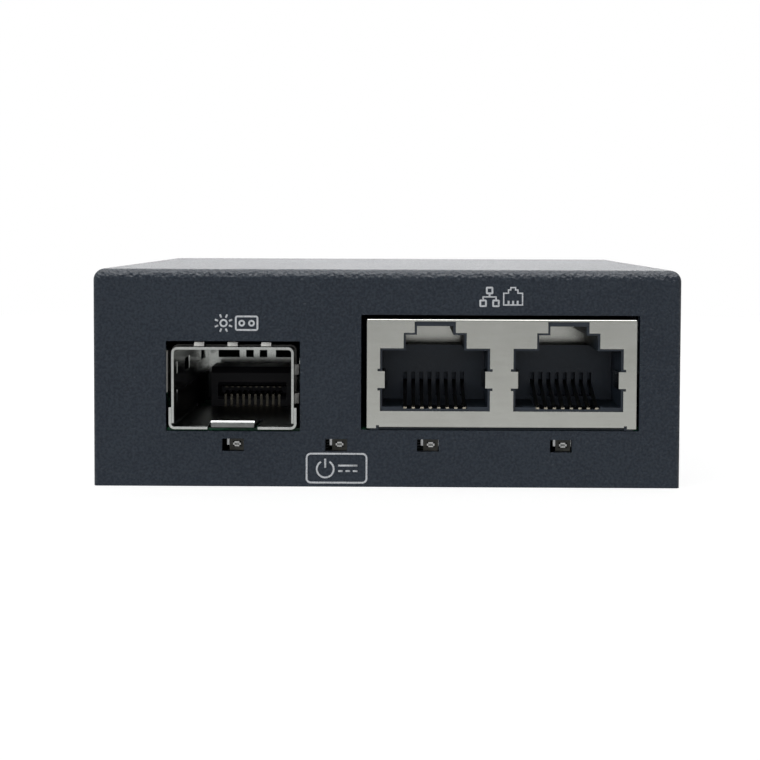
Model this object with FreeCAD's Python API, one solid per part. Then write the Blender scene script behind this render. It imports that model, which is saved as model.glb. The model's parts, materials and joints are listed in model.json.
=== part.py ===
# Fibre media converter: a small folded steel case with one fibre transceiver port and two
# network ports on the front, four indicator lights below them and a power inlet at the rear.
# Millimetres. +X right and +Z up seen from the front, the front face looks along -Y, and
# the origin is the centre of the case's underside.
import FreeCAD, Part
import math
import os

V = FreeCAD.Vector
X = V(1, 0, 0)
Y = V(0, 1, 0)
Z = V(0, 0, 1)

# Case
case_w = 70.0
case_d = 94.0
case_h = 26.0
sheet = 1.0            # steel sheet of cover and base
fold_r = 1.3           # outside radius of the folds
upright_r = 0.5        # outside radius down the four upright corners
seam_w = 0.25          # butt seam beside each upright corner
relief_w = 1.2         # square relief where a seam ends
seam_top = 3.0         # seam's upper end, below the top of the case
cover_gap = 0.2        # base to the cover walls around it
cage_gap = 0.7         # panel cut-out to the fibre cage, sides and top
jack_gap = 0.52        # panel cut-out to the network jack, sides
jack_gap_up = 0.45
jack_shift = 0.17      # jack stands this far right of its cut-out's centre
gap_below = 0.25       # panel cut-outs below both ports

# Base
flange_h = 4.0         # low side flanges
ear_w = 12.0           # raised ears that take the side screws
ear_above = 3.2        # ear above the screw's axis
base_slot_l = 22.0
base_slot_w = 1.6
base_slots = 7
base_slot_pitch = 4.0

# Side vents
vent_w = 1.6
vent_l = 9.0
vent_pitch = 4.2
vents = 7
vent_y = 6.0
vent_z = 15.5

# Screws
thread_d = 3.0
screw_gap = 0.05       # radial clearance of every screw in its hole
side_head_d = 5.2
side_head_t = sheet      # countersunk through the whole sheet
side_screw_l = 4.2
side_screw_z = 9.8
side_screw_inset = 17.0  # from the case's front and rear faces
recess_d = 2.4
recess_t = 0.6
board_head_d = 5.4
board_head_t = 1.9
board_screw_l = 4.6

# Board and its standoffs
standoff_h = 4.7
standoff_w = 5.5       # across the flats
nut_w = 5.0            # standoff's six-sided foot, pressed flush into the base
bore_floor = 0.8       # metal under the standoff's blind bore
press_gap = 0.02       # round a pressed or clipped fit
board_t = 1.2
board_cut = 0.8        # cut corners of the board
board_gap = 0.4        # board to the base flanges
board_end_gap = 0.5    # board to the front and rear walls
hole_gap = 0.12        # round a pin or post in the board
pin_below = 0.7        # pins below the board
screw_inset_x = 3.4    # board screws from the board's edges
screw_inset_y = 5.4
front_screw_y = 7.6    # front left board screw, from the board's front edge
rear_of_jack = 5.8     # front right board screw, behind the network jack

# Fibre cage
cage_w = 14.6
cage_h = 9.8
cage_len = 48.7
cage_t = 0.3
cage_r = 0.55
cage_proud = 0.6       # in front of the case
cage_lift = 0.2        # shell's lower edge above the board
cage_inset = 9.35      # from the case's left side
floor_clear = 2.4      # floor's rear edge to the socket's front solder feet
lip_h = 2.6
tongue_w = 5.2
tongue_l = 11.0
tongue_slit = 0.4
tongue_rise = 0.15
tongue_lip = 0.58
latch_hole = 2.4
cage_pin_w = 0.6
shell_pin_ahead = 2.5  # front pins of the shell behind the floor
shell_pins_back = [6.0, 1.2]   # the other rows before the cage's rear
floor_pin_in = 3.0     # outer pins of the floor from its rear and the board's edge
cage_window_w = 6.5
cage_window_h = 1.6
cage_window_drop = 2.9     # middle of the windows below the cage's top
cage_windows_back = [14.0, 37.0]   # side windows behind the cage's front
# windows of the rear flap: middle and width as shares of the cage's width
rear_windows = [(-0.28, 0.2), (-0.08, 0.07), (0.05, 0.07), (0.27, 0.2)]
rear_window_h = 1.8

# Ground spring round the cage
spring_t = 0.15
spring_band = 1.6
spring_back = 4.6      # band's rear edge behind the cage's front
finger_w = 1.2
finger_pitch = 4.0
finger_clear = 0.05      # bow of the leaves to the panel cut-out
finger_peak = 0.75       # bow's front end behind the cage's front
finger_flat = 1.2
side_leaf_at = [0.38, 0.73]        # side leaves, as shares of the cage's height
spring_hole_h = 1.4      # holes in the cage's sides over the spring band
wing_h = 5.0             # upright wing of the spring on the left

# Fibre socket
socket_w = 11.0
socket_d = 9.4
socket_h = 5.3
socket_rear = 3.7      # back of the socket to the cage's rear
socket_slot_w = 9.2
socket_slot_h = 1.5
socket_slot_d = 6.6
socket_slot_z = 2.1    # middle of the slot above the board
socket_lead_in = 0.4
socket_post_d = 1.5
way_pitch = 0.8
ways_a_row = 10
way_w = 0.32
way_t = 0.15
way_foot = 1.2         # solder foot in front of and behind the socket
way_groove = 0.55      # depth of the groove each front leg stands in
way_gap = 0.04
way_behind = 0.4       # upper row's legs behind the socket
way_bow_at = 3.4       # crest and tip of the lower springs behind the socket's front
way_tip_at = 5.4
way_high_at = 2.2      # tip of the upper springs
way_bow = 0.3          # how far the crest stands above the springs' ends
way_low = 0.2          # lower springs' ends above the slot's underside
way_high = 0.4         # upper springs' tips below its upper side
way_back_high = 0.3

# Network jack
jack_w = 32.1
jack_h = 13.05
jack_d = 21.5
jack_proud = 0.2
jack_lift = 0.2        # shield above the board
jack_inset = 5.25      # from the case's right side
shield_t = 0.3
shield_r = 0.25
port_pitch = 15.88
port_w = 13.1
port_h = 7.5
port_sill = 2.05       # window's sill above the shield's lower edge
step_w = 7.5           # lower step of the latch channel
step_h = 1.85
notch_w = 4.9          # upper step of the latch channel
plastic_in = 0.25      # housing's aperture inside the shield's window
notch_in = 0.28        # the same in the upper notch
lip_d = 0.8            # lip folded back under the shield's face
lip_inset = 1.45       # lip's ends from the shield's sides
lip_relief = 0.35      # square relief at each end of the lip
jack_fit = 0.05        # housing in the shield
port_depth = 13.4
roof_t = 0.55          # plastic over the latch channel
ledge_h = 0.23
tab_z = 2.75           # side tab above the window's sill
tab_h = 2.0
tab_l = 6.5
tab_in = 0.42
tab_relief = 0.3       # relief cut above and below each tab
leg_w = 1.0
post_d = 3.2
post_in = 2.0          # posts from the jack's sides
post_y = 8.0           # posts behind the jack's face

# Network contacts
wires = 8
wire_pitch = 1.016
wire_w = 0.4
wire_t = 0.25
wire_bend = 0.35
wire_nose = 1.6        # nose of the wire behind the jack's face
wire_tip_y = 14.6
wire_tip_z = 2.9       # tip above the carrier
tail_y = 11.6          # first row of tails behind the jack's face
tail_row = 2.54
carrier_front = 0.9
carrier_back = 10.9
carrier_h = 2.15
groove_h = 0.45
trough_w = 7.7
carrier_fit = 0.05
comb_d = 2.0
comb_w = 0.5
comb_low = 1.0         # comb's lower and upper ends, from the carrier and the wires' tips
comb_high = 1.05
comb_ahead = 0.5       # comb's slots in front of the port's back wall

# Indicator lights
light_w = 1.8
light_h = 1.5
light_d = 0.7
light_end = 0.3        # terminal at each end
light_end_h = 0.9
light_gap = 0.4        # behind the board's front edge
light_shift = 0.35     # right of the window's centre
frame_w = 0.9          # frame round the lens
frame_h = 0.56
frame_t = 0.14
frame_d = 0.3
window_w = 2.6
window_h = 1.5
window_z = 5.0
lan_light_in = 0.8     # lan lights left of the port centres
power_light_in = 3.65  # power light left of the jack

# Power inlet
inlet_w = 9.0
inlet_d = 14.0
inlet_h = 11.0
inlet_collar = 3.4
inlet_bore = 6.4
inlet_bore_d = 9.8
inlet_axis = 6.4       # above the board
inlet_pin = 2.0
inlet_root = 2.4       # pin's root in the body
inlet_tip = 0.8        # taper of the pin's tip
inlet_pin_back = 0.8   # pin's tip behind the mouth
inlet_inset = 13.0     # axis from the case's right side
inlet_hole = 8.0       # hole in the rear wall
inlet_gap = 0.15       # mouth to the rear wall
leaf_w = 2.4
leaf_t = 0.3

# Parts on the board
chip_w = 10.0
chip_t = 1.4
chip_lift = 0.1
chip_leads = 6
lead_pitch = 1.4
lead_w = 0.35
lead_t = 0.15
lead_out = 1.0
memory_w = 5.0
memory_l = 4.0
regulator_w = 6.5
regulator_l = 5.6
small_chip_t = 1.5
crystal_w = 11.0
crystal_l = 4.6
crystal_t = 3.4
inductor_w = 7.0
inductor_t = 4.2
inductor_cut = 1.0
transformer_w = 12.8
transformer_l = 7.2
transformer_t = 5.6
capacitor_d = 6.3
capacitor_t = 7.2
capacitor_base = 6.6
capacitor_foot = 0.9
capacitor_cut = 0.8
small_l = 1.6
small_w = 0.8
small_t = 0.7
part_gap = 2.2         # between parts on the board
chip_right = 4.0       # chip right of the fibre cage's middle
memory_left = 5.5      # memory left of it
crystal_right = 5.0
transformer_right = 1.0  # right of each network port's middle
transformer_back = 7.5   # behind the jack, past the gap
inductor_left = 1.0    # left of the inlet's axis
regulator_left = 3.0
resistor_left = 3.0    # first resistor left of the left port's middle
resistor_pitch = 2.6
resistor_back = 1.2
chip_cap_pitch = 2.4
chip_cap_back = 6.5    # behind the crystal's middle
chip_caps = 7
chip_resistors = 8

# Places that follow from the sizes above
front = -case_d / 2
rear = case_d / 2
wall_in = case_w / 2 - sheet
rear_in = rear - sheet
base_x = wall_in - cover_gap
base_y = rear_in - cover_gap
flange_in = base_x - sheet
board_x = flange_in - board_gap
board_y = rear_in - board_end_gap
board_low = sheet + standoff_h
board_up = board_low + board_t
pin_low = board_low - pin_below

cage_x = -case_w / 2 + cage_inset + cage_w / 2
cage_y = front - cage_proud
cage_end = cage_y + cage_len
cage_top = board_up + cage_h
socket_end = cage_end - socket_rear
socket_y = socket_end - socket_d
floor_len = socket_y - way_foot - floor_clear - cage_y
finger_out = cage_gap - press_gap - spring_t - finger_clear

jack_x = case_w / 2 - jack_inset - jack_w / 2
jack_y = front - jack_proud
jack_end = jack_y + jack_d
jack_low = board_up + jack_lift
jack_top = jack_low + jack_h
port_xs = [jack_x - port_pitch / 2, jack_x + port_pitch / 2]
sill = jack_low + port_sill
lintel = sill + port_h
carrier_top = board_up + carrier_h
trough_end = tail_y + tail_row + wire_bend + wire_t

inlet_x = case_w / 2 - inlet_inset
inlet_y = rear_in - inlet_gap
inlet_z = board_up + inlet_axis

light_xs = {
    "light_fibre": cage_x,
    "light_power": jack_x - jack_w / 2 - power_light_in,
    "light_lan_left": port_xs[0] - lan_light_in,
    "light_lan_right": port_xs[1] - lan_light_in,
}
board_screws = [
    V(-board_x + screw_inset_x, -board_y + front_screw_y, 0),
    V(board_x - screw_inset_x, jack_end + rear_of_jack, 0),
    V(-board_x + screw_inset_x, board_y - screw_inset_y, 0),
    V(board_x - screw_inset_x, board_y - screw_inset_y, 0),
]
side_screw_ys = [front + side_screw_inset, rear - side_screw_inset]


# Shape helpers

def block(x0, x1, y0, y1, z0, z1):
    return Part.makeBox(x1 - x0, y1 - y0, z1 - z0, V(x0, y0, z0))


def rod(diameter, start, along):
    return Part.makeCylinder(diameter / 2, along.Length, start, along)


def outline(points, radii):
    # closed wire through the points, each corner rounded by its own radius
    edges = []
    starts = []
    ends = []
    for i, here in enumerate(points):
        a = points[i - 1] - here
        b = points[(i + 1) % len(points)] - here
        a.normalize()
        b.normalize()
        half = a.getAngle(b) / 2
        r = radii[i]
        middle = a + b
        if r < 1e-6 or middle.Length < 1e-6:
            starts.append(here)
            ends.append(here)
            continue
        middle.normalize()
        reach = r / math.tan(half)
        starts.append(here + a * reach)
        ends.append(here + b * reach)
        bulge = here + middle * (r / math.sin(half) - r)
        edges.append(Part.Arc(starts[i], bulge, ends[i]).toShape())
    for i, end in enumerate(ends):
        start = starts[(i + 1) % len(starts)]
        if (start - end).Length > 1e-6:
            edges.append(Part.makeLine(end, start))
    return Part.Wire(Part.__sortEdges__(edges))


def prism(points, radius, along):
    # straight prism on a closed outline, all corners alike or one radius each
    radii = radius if isinstance(radius, list) else [radius] * len(points)
    return Part.Face(outline(points, radii)).extrude(along)


def strip(points, thick, bend, along):
    # sheet strip of the given thickness whose middle line follows the points
    axis = V(along)
    axis.normalize()
    sides = {1: [], -1: []}
    bends = {1: [], -1: []}
    last = len(points) - 1
    for i, here in enumerate(points):
        before = here - points[i - 1] if i > 0 else points[1] - here
        after = points[i + 1] - here if i < last else here - points[last - 1]
        before.normalize()
        after.normalize()
        normal = axis.cross(before) + axis.cross(after)
        normal.normalize()
        turn = before.getAngle(after)
        inner = 1 if axis.cross(before).dot(after) > 0 else -1
        for side in (1, -1):
            sides[side].append(here + normal * (side * thick / 2 / math.cos(turn / 2)))
            grow = -side * inner * thick / 2
            rounded = bend > 0 and 0 < i < last and turn > 1e-4
            bends[side].append(bend + grow if rounded else 0)
    points = sides[1] + sides[-1][::-1]
    return Part.Face(outline(points, bends[1] + bends[-1][::-1])).extrude(along)


def box_xz(x, z, w, h, y):
    # corners of an upright rectangle round a centre, on the plane at y
    return [V(x - w / 2, y, z - h / 2), V(x + w / 2, y, z - h / 2),
            V(x + w / 2, y, z + h / 2), V(x - w / 2, y, z + h / 2)]


def slot(centre, length, width, along):
    # punched slot with cut corners, its length along Z or, through a floor, along X
    across = Y * (width / 2)
    reach = (Z if abs(along.z) < 0.5 else X) * (length / 2)
    cut = width * 0.3
    corner_a = across * (1 - 2 * cut / width)
    corner_b = reach * (1 - 2 * cut / length)
    points = [centre - across - corner_b, centre - corner_a - reach,
              centre + corner_a - reach, centre + across - corner_b,
              centre + across + corner_b, centre + corner_a + reach,
              centre - corner_a + reach, centre - across + corner_b]
    return prism(points, 0, along)


def plain_rod(diameter, start, along):
    # twelve-sided stand-in for a round shank, head or bore that is out of sight
    axis = V(along)
    axis.normalize()
    side = Z if abs(axis.z) < 0.5 else X
    other = axis.cross(side)
    r = diameter / 2
    corners = [start + side * (r * math.cos(a)) + other * (r * math.sin(a))
               for a in [i * math.pi / 6 for i in range(12)]]
    return prism(corners, 0, along)


def hexagon(across_flats, start, along):
    # six-sided prism standing on a level plane
    r = across_flats / math.sqrt(3)
    corners = [start + V(r * math.cos(a), r * math.sin(a), 0)
               for a in [i * math.pi / 3 for i in range(6)]]
    return prism(corners, 0, along)


def cut_plate(x, y, w, l, z, thick, cut):
    # flat block with its four corners cut off
    a = w / 2
    b = l / 2
    points = [V(x - a + cut, y - b, z), V(x + a - cut, y - b, z), V(x + a, y - b + cut, z),
              V(x + a, y + b - cut, z), V(x + a - cut, y + b, z), V(x - a + cut, y + b, z),
              V(x - a, y + b - cut, z), V(x - a, y - b + cut, z)]
    return prism(points, 0, Z * thick)


def join(shapes):
    return shapes[0].multiFuse(shapes[1:]).removeSplitter() if len(shapes) > 1 else shapes[0]


def folded_box(x, w, y0, y1, z0, z1, top_r, side_r):
    # box whose top edges and, if asked, upright edges are rounded
    box = block(x - w / 2, x + w / 2, y0, y1, z0, z1)
    if side_r > 0:
        upright = [e for e in box.Edges if abs(e.Vertexes[0].Z - e.Vertexes[1].Z) > 1e-6]
        box = box.makeFillet(side_r, upright)
    top = [e for e in box.Edges if min(v.Z for v in e.Vertexes) > z1 - 1e-6]
    return box.makeFillet(top_r, top)


# Case

def case_cover():
    outer = folded_box(0, case_w, front, rear, 0, case_h, fold_r, upright_r)
    inner = block(-wall_in, wall_in, front + sheet, rear_in, 0, case_h - sheet)
    cuts = [inner]
    # butt seams of the side walls, each ending in a square relief under the top fold
    top_z = case_h - seam_top
    for y, y0, y1 in ((front + sheet, 0, relief_w), (rear_in, -relief_w, 0)):
        seam_y = min(y, y + math.copysign(seam_w, y1 + y0))
        cuts.append(block(-case_w, case_w, seam_y, seam_y + seam_w, -1, top_z))
        cuts.append(block(-case_w, case_w, y + y0, y + y1, top_z - relief_w, top_z))
    # port and light windows in the front
    cage_hole = box_xz(cage_x, (board_up - gap_below + cage_top + cage_gap) / 2,
                       cage_w + 2 * cage_gap, cage_h + cage_gap + gap_below, front - 1)
    jack_hole = box_xz(jack_x - jack_shift, (jack_low - gap_below + jack_top + jack_gap_up) / 2,
                       jack_w + 2 * jack_gap, jack_h + jack_gap_up + gap_below, front - 1)
    for hole in (cage_hole, jack_hole):
        cuts.append(prism(hole, 0, Y * (sheet + 2)))
    for x in light_xs.values():
        window = box_xz(x, window_z, window_w, window_h, front - 1)
        cuts.append(prism(window, 0, Y * (sheet + 2)))
    # round hole for the power plug
    cuts.append(rod(inlet_hole, V(inlet_x, rear_in - 1, inlet_z), Y * (sheet + 2)))
    # vents and countersunk screw holes in the sides
    for i in range(vents):
        y = vent_y + (i - (vents - 1) / 2) * vent_pitch
        cuts.append(slot(V(-case_w, y, vent_z), vent_l, vent_w, X * 2 * case_w))
    for y in side_screw_ys:
        for side in (-1, 1):
            cuts.append(side_screw_head(y, side, press_gap))
    return outer.cut(cuts)


def base_plate():
    # flat floor with both side flanges folded up, cut down between the screw ears
    ear_z = side_screw_z + ear_above
    t = sheet / 2
    fold = [V(-base_x + t, -base_y, ear_z), V(-base_x + t, -base_y, t),
            V(base_x - t, -base_y, t), V(base_x - t, -base_y, ear_z)]
    plate = strip(fold, sheet, fold_r - t, Y * 2 * base_y)
    cuts = []
    ends = [-base_y - 1]
    for y in side_screw_ys:
        ends.extend([y - ear_w / 2, y + ear_w / 2])
    ends.append(base_y + 1)
    for y0, y1 in zip(ends[::2], ends[1::2]):
        cuts.append(block(-case_w, case_w, y0, y1, flange_h, case_h))
    for y in side_screw_ys:
        cuts.append(plain_rod(thread_d + 2 * screw_gap, V(-case_w, y, side_screw_z),
                              X * 2 * case_w))
    for place in board_screws:
        cuts.append(hexagon(nut_w + 2 * press_gap, place - Z, Z * (sheet + 2)))
    # ventilation slots in the floor
    for i in range(base_slots):
        y = (i - (base_slots - 1) / 2) * base_slot_pitch
        cuts.append(slot(V(0, y, -1), base_slot_l, base_slot_w, Z * (sheet + 2)))
    return plate.cut(cuts)


# Fasteners

def cross_recess(start, along):
    # tapered cross that a driver sits in
    axis = V(along)
    axis.normalize()
    side = axis.cross(Z if abs(axis.z) < 0.5 else X)
    bars = []
    for turn in (0, 90):
        bar = prism([start - side * recess_d / 2 - axis.cross(side) * recess_d / 8,
                     start + side * recess_d / 2 - axis.cross(side) * recess_d / 8,
                     start + side * recess_d / 2 + axis.cross(side) * recess_d / 8,
                     start - side * recess_d / 2 + axis.cross(side) * recess_d / 8],
                    0, axis * recess_t)
        bars.append(bar.rotate(start, axis, turn))
    return bars[0].fuse(bars[1])


def side_screw_head(y, side, gap):
    # countersunk head flush with the case side
    place = V(side * case_w / 2, y, side_screw_z)
    return Part.makeCone(side_head_d / 2 + gap, thread_d / 2 + gap, side_head_t, place,
                         X * -side)


def side_screws():
    screws = []
    for y in side_screw_ys:
        for side in (-1, 1):
            start = V(side * case_w / 2, y, side_screw_z)
            inward = X * -side
            shank = plain_rod(thread_d, start + inward * side_head_t,
                              inward * (side_screw_l - side_head_t))
            screw = side_screw_head(y, side, 0).fuse(shank)
            screws.append(screw.cut(cross_recess(start, inward)))
    return screws


def board_standoffs():
    posts = []
    for place in board_screws:
        body = hexagon(standoff_w, place + Z * sheet, Z * standoff_h)
        foot = hexagon(nut_w, place, Z * sheet)
        bore = plain_rod(thread_d + 2 * screw_gap, place + Z * bore_floor, Z * board_up)
        posts.append(body.fuse(foot).cut(bore))
    return posts


def board_screw():
    # head on the board and the shank below it
    head = plain_rod(board_head_d, V(), Z * board_head_t)
    head = head.cut(cross_recess(Z * board_head_t, -Z))
    return head.fuse(plain_rod(thread_d, V(), -Z * board_screw_l))


def board_screw_set():
    return [board_screw().translate(place + Z * board_up) for place in board_screws]


# Board

def main_board():
    plate = cut_plate(0, 0, 2 * board_x, 2 * board_y, board_low, board_t, board_cut)
    holes = [plain_rod(thread_d + 4 * screw_gap, place + Z * board_low - Z, Z * (board_t + 2))
             for place in board_screws]
    for place, across in board_pins():
        start = V(place.x, place.y, board_low - 1)
        width = across + 2 * hole_gap
        shape = plain_rod if across > thread_d else hexagon
        holes.append(shape(width, start, Z * (board_t + 2)))
    return plate.cut(holes)


def board_pins():
    # every pin and post that goes through the board, with the width its hole must clear
    pins = []
    prong = math.hypot(cage_pin_w, cage_t)
    for x, y in shell_pin_places() + floor_pin_places():
        pins.append((V(x, y, 0), prong))
    for x in socket_post_xs():
        pins.append((V(x, socket_y + socket_d / 2, 0), socket_post_d))
    for x, y in jack_leg_places():
        pins.append((V(x, y, 0), math.hypot(leg_w, shield_t)))
    for x in jack_post_xs():
        pins.append((V(x, jack_y + post_y, 0), post_d))
    for port in port_xs:
        for i in range(wires):
            pins.append((V(wire_x(port, i), tail_place(i), 0), math.hypot(wire_w, wire_t)))
    for x, y in inlet_tail_places():
        pins.append((V(x, y, 0), math.hypot(leaf_w, leaf_t)))
    return pins


# Fibre cage

def shell_pin_places():
    x = cage_w / 2 - cage_t / 2
    rows = [cage_y + floor_len + shell_pin_ahead] + [cage_end - back for back in shell_pins_back]
    return [(cage_x + side * x, y) for y in rows for side in (-1, 1)]


def floor_pin_places():
    x = cage_w / 2 + press_gap + cage_t / 2
    rear = cage_y + floor_len
    rows = [-board_y + floor_pin_in, cage_y + floor_len / 2, rear - floor_pin_in]
    return [(cage_x + side * x, y) for y in rows for side in (-1, 1)]


def prong(x, y, top):
    # press-fit pin of the cage with a chamfered tip
    w = cage_pin_w / 2
    t = cage_t / 2
    return prism([V(x - t, y - w, top), V(x - t, y + w, top), V(x - t, y + w, pin_low + w),
                  V(x - t, y + w / 2, pin_low), V(x - t, y - w / 2, pin_low),
                  V(x - t, y - w, pin_low + w)], 0, X * cage_t)


def fibre_cage_shell():
    # top and sides are one folded channel, closed at the rear by a flap
    t = cage_t / 2
    low = board_up + cage_lift
    half = cage_w / 2 - t
    fold = [V(cage_x - half, cage_y, low), V(cage_x - half, cage_y, cage_top - t),
            V(cage_x + half, cage_y, cage_top - t), V(cage_x + half, cage_y, low)]
    channel = strip(fold, cage_t, cage_r, Y * cage_len)
    # the sides stop above the bends of the floor, and reach down to the board behind it
    over_floor = board_up + cage_r + t + press_gap
    channel = channel.cut(block(cage_x - cage_w, cage_x + cage_w, cage_y - 1,
                                cage_y + floor_len + cage_lift, low - 1, over_floor))
    flap = block(cage_x - half, cage_x + half, cage_end - cage_t, cage_end, low, cage_top - t)
    pins = [prong(x, y, low + 1) for x, y in shell_pin_places()]
    shell = join([channel, flap] + pins)
    cuts = []
    # windows high in the side walls and the rear flap
    z = cage_top - cage_window_drop
    high = z + cage_window_h / 2
    for back in cage_windows_back:
        y = cage_y + back
        cuts.append(block(cage_x - cage_w, cage_x + cage_w, y, y + cage_window_w,
                          z - cage_window_h / 2, high))
    for middle, wide in rear_windows:
        x = cage_x + middle * cage_w
        half = wide * cage_w / 2
        cuts.append(block(x - half, x + half, cage_end - 1, cage_end + 1,
                          high - rear_window_h, high))
    # holes near the front, over the band of the ground spring
    y = cage_y + spring_back - spring_band
    for share in side_leaf_at:
        z = board_up + cage_h * share
        cuts.append(block(cage_x - cage_w, cage_x + cage_w, y, y + spring_band,
                          z - spring_hole_h / 2, z + spring_hole_h / 2))
    return shell.cut(cuts)


def fibre_cage_floor():
    # floor with side lips wrapped up round the shell and a latch tongue cut free
    t = cage_t / 2
    half = cage_w / 2 + press_gap + t
    lip = board_up + lip_h
    fold = [V(cage_x - half, cage_y, lip), V(cage_x - half, cage_y, board_up + t),
            V(cage_x + half, cage_y, board_up + t), V(cage_x + half, cage_y, lip)]
    floor = strip(fold, cage_t, cage_r, Y * floor_len)
    side = tongue_w / 2
    floor = floor.cut(block(cage_x - side - tongue_slit, cage_x + side + tongue_slit,
                            cage_y - 1, cage_y + tongue_l, board_up - 1, board_up + 1))
    spring = [V(cage_x - side, cage_y + tongue_l + 0.5, board_up + t),
              V(cage_x - side, cage_y + tongue_l - 1.5, board_up + t),
              V(cage_x - side, cage_y + 1.0, board_up + t + tongue_rise),
              V(cage_x - side, cage_y + 0.3, board_up + t + tongue_rise + tongue_lip)]
    tongue = strip(spring, cage_t, 0, X * tongue_w)
    r = latch_hole / 2
    y = cage_y + tongue_l / 2
    catch = prism([V(cage_x - r, y - r, board_up - 1), V(cage_x + r, y - r, board_up - 1),
                   V(cage_x, y + r, board_up - 1)], 0, Z * 3)
    pins = [prong(px, py, board_up + cage_r + cage_t) for px, py in floor_pin_places()]
    return join([floor, tongue.cut(catch)] + pins)


def ground_spring():
    # band round the shell, with leaves that bow out towards the panel and hook at the front
    t = spring_t / 2
    half = cage_w / 2 + press_gap + t
    high = cage_top + press_gap + t
    low = board_up + lip_h + 1.0
    y1 = cage_y + spring_back
    y0 = y1 - spring_band
    fold = [V(cage_x - half, y0, low), V(cage_x - half, y0, high),
            V(cage_x + half, y0, high), V(cage_x + half, y0, low)]
    band = strip(fold, spring_t, cage_r + press_gap + t, Y * spring_band)
    parts = [band]
    peak = cage_y + finger_peak
    tip = cage_y + 0.1
    for i in (-1, 0, 1):
        x = cage_x + i * finger_pitch - finger_w / 2
        leaf = [V(x, y1 - t, high), V(x, y0, high), V(x, peak + finger_flat, high + finger_out),
                V(x, peak, high + finger_out), V(x, tip, high)]
        parts.append(strip(leaf, spring_t, 0, X * finger_w))
    for share in side_leaf_at:
        x = cage_x + half
        z = board_up + cage_h * share - finger_w / 2
        leaf = [V(x, y1 - t, z), V(x, y0, z), V(x + finger_out, peak + finger_flat, z),
                V(x + finger_out, peak, z), V(x, tip, z)]
        parts.append(strip(leaf, spring_t, 0, Z * finger_w))
    # on the left one upright wing stands in the gap to the panel
    x = cage_x - half
    z = high - cage_r - wing_h
    wing = [V(x, y1 - t, z), V(x, y0, z), V(x - finger_out, peak + finger_flat, z),
            V(x - finger_out, front + 0.1, z)]
    parts.append(strip(wing, spring_t, 0, Z * wing_h))
    return join(parts)


# Fibre socket

def socket_post_xs():
    return [cage_x - socket_w / 2 + 1.6, cage_x + socket_w / 2 - 1.6]


def way_xs():
    first = cage_x - (ways_a_row - 1) / 2 * way_pitch
    return [first + i * way_pitch for i in range(ways_a_row)]


def fibre_socket_body():
    side = socket_w / 2
    top = board_up + socket_h
    # side profile with a sloping nose over the slot
    body = prism([V(cage_x - side, socket_y, board_up), V(cage_x - side, socket_end, board_up),
                  V(cage_x - side, socket_end, top), V(cage_x - side, socket_y + 0.8, top),
                  V(cage_x - side, socket_y, top - 0.8)], 0, X * socket_w)
    z = board_up + socket_slot_z
    half = socket_slot_h / 2
    wide = socket_slot_w / 2
    c = socket_lead_in
    slot = prism([V(cage_x - wide, socket_y - c, z - half - c * 2),
                  V(cage_x - wide, socket_y + c, z - half),
                  V(cage_x - wide, socket_y + socket_slot_d, z - half),
                  V(cage_x - wide, socket_y + socket_slot_d, z + half),
                  V(cage_x - wide, socket_y + c, z + half),
                  V(cage_x - wide, socket_y - c, z + half + c * 2)], 0, X * socket_slot_w)
    back = block(cage_x - wide, cage_x + wide, socket_y + socket_slot_d - 1, socket_end + 1,
                 z + half - 0.6, z + half)
    grooves = [block(x - way_w / 2 - way_gap, x + way_w / 2 + way_gap, socket_y - 1,
                     socket_y + way_groove, board_up - 1, z) for x in way_xs()]
    posts = [plain_rod(socket_post_d, V(x, socket_y + socket_d / 2, pin_low),
                       Z * (board_up - pin_low)) for x in socket_post_xs()]
    return join([body.cut([slot, back] + grooves)] + posts)


def fibre_socket_contacts():
    # lower row soldered in front of the socket, upper row behind it
    t = way_t / 2
    z = board_up + socket_slot_z
    half = socket_slot_h / 2
    foot = board_up + t
    leg = socket_y + way_groove - t - way_gap
    low = z - half + way_low
    back = socket_end + way_behind
    springs = []
    for x in way_xs():
        x = x - way_w / 2
        lower = [V(x, socket_y - way_foot, foot), V(x, leg, foot),
                 V(x, leg, low), V(x, socket_y + way_bow_at, low + way_bow),
                 V(x, socket_y + way_tip_at, low)]
        upper = [V(x, socket_end + way_foot, foot), V(x, back, foot),
                 V(x, back, z + half - way_back_high),
                 V(x, socket_y + way_high_at, z + half - way_high)]
        springs.append(strip(lower, way_t, 0, X * way_w))
        springs.append(strip(upper, way_t, 0, X * way_w))
    return springs


# Network jack

def port_outline(x, y, less, notch_less):
    # stepped window of one port, drawn in by the given amount all round
    a = port_w / 2 - less
    b = step_w / 2 - less
    c = notch_w / 2 - notch_less
    z0 = sill + less
    z1 = lintel - less
    z2 = lintel + step_h - less
    z3 = jack_top - shield_t - roof_t * less / plastic_in
    return [V(x - a, y, z0), V(x + a, y, z0), V(x + a, y, z1), V(x + b, y, z1),
            V(x + b, y, z2), V(x + c, y, z2), V(x + c, y, z3), V(x - c, y, z3),
            V(x - c, y, z2), V(x - b, y, z2), V(x - b, y, z1), V(x - a, y, z1)]


def jack_leg_places():
    x = jack_w / 2 - shield_t / 2
    rows = [jack_y + 6.0, jack_end - 6.0]
    return [(jack_x + side * x, y) for y in rows for side in (-1, 1)]


def jack_post_xs():
    return [jack_x - jack_w / 2 + post_in, jack_x + jack_w / 2 - post_in]


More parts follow.
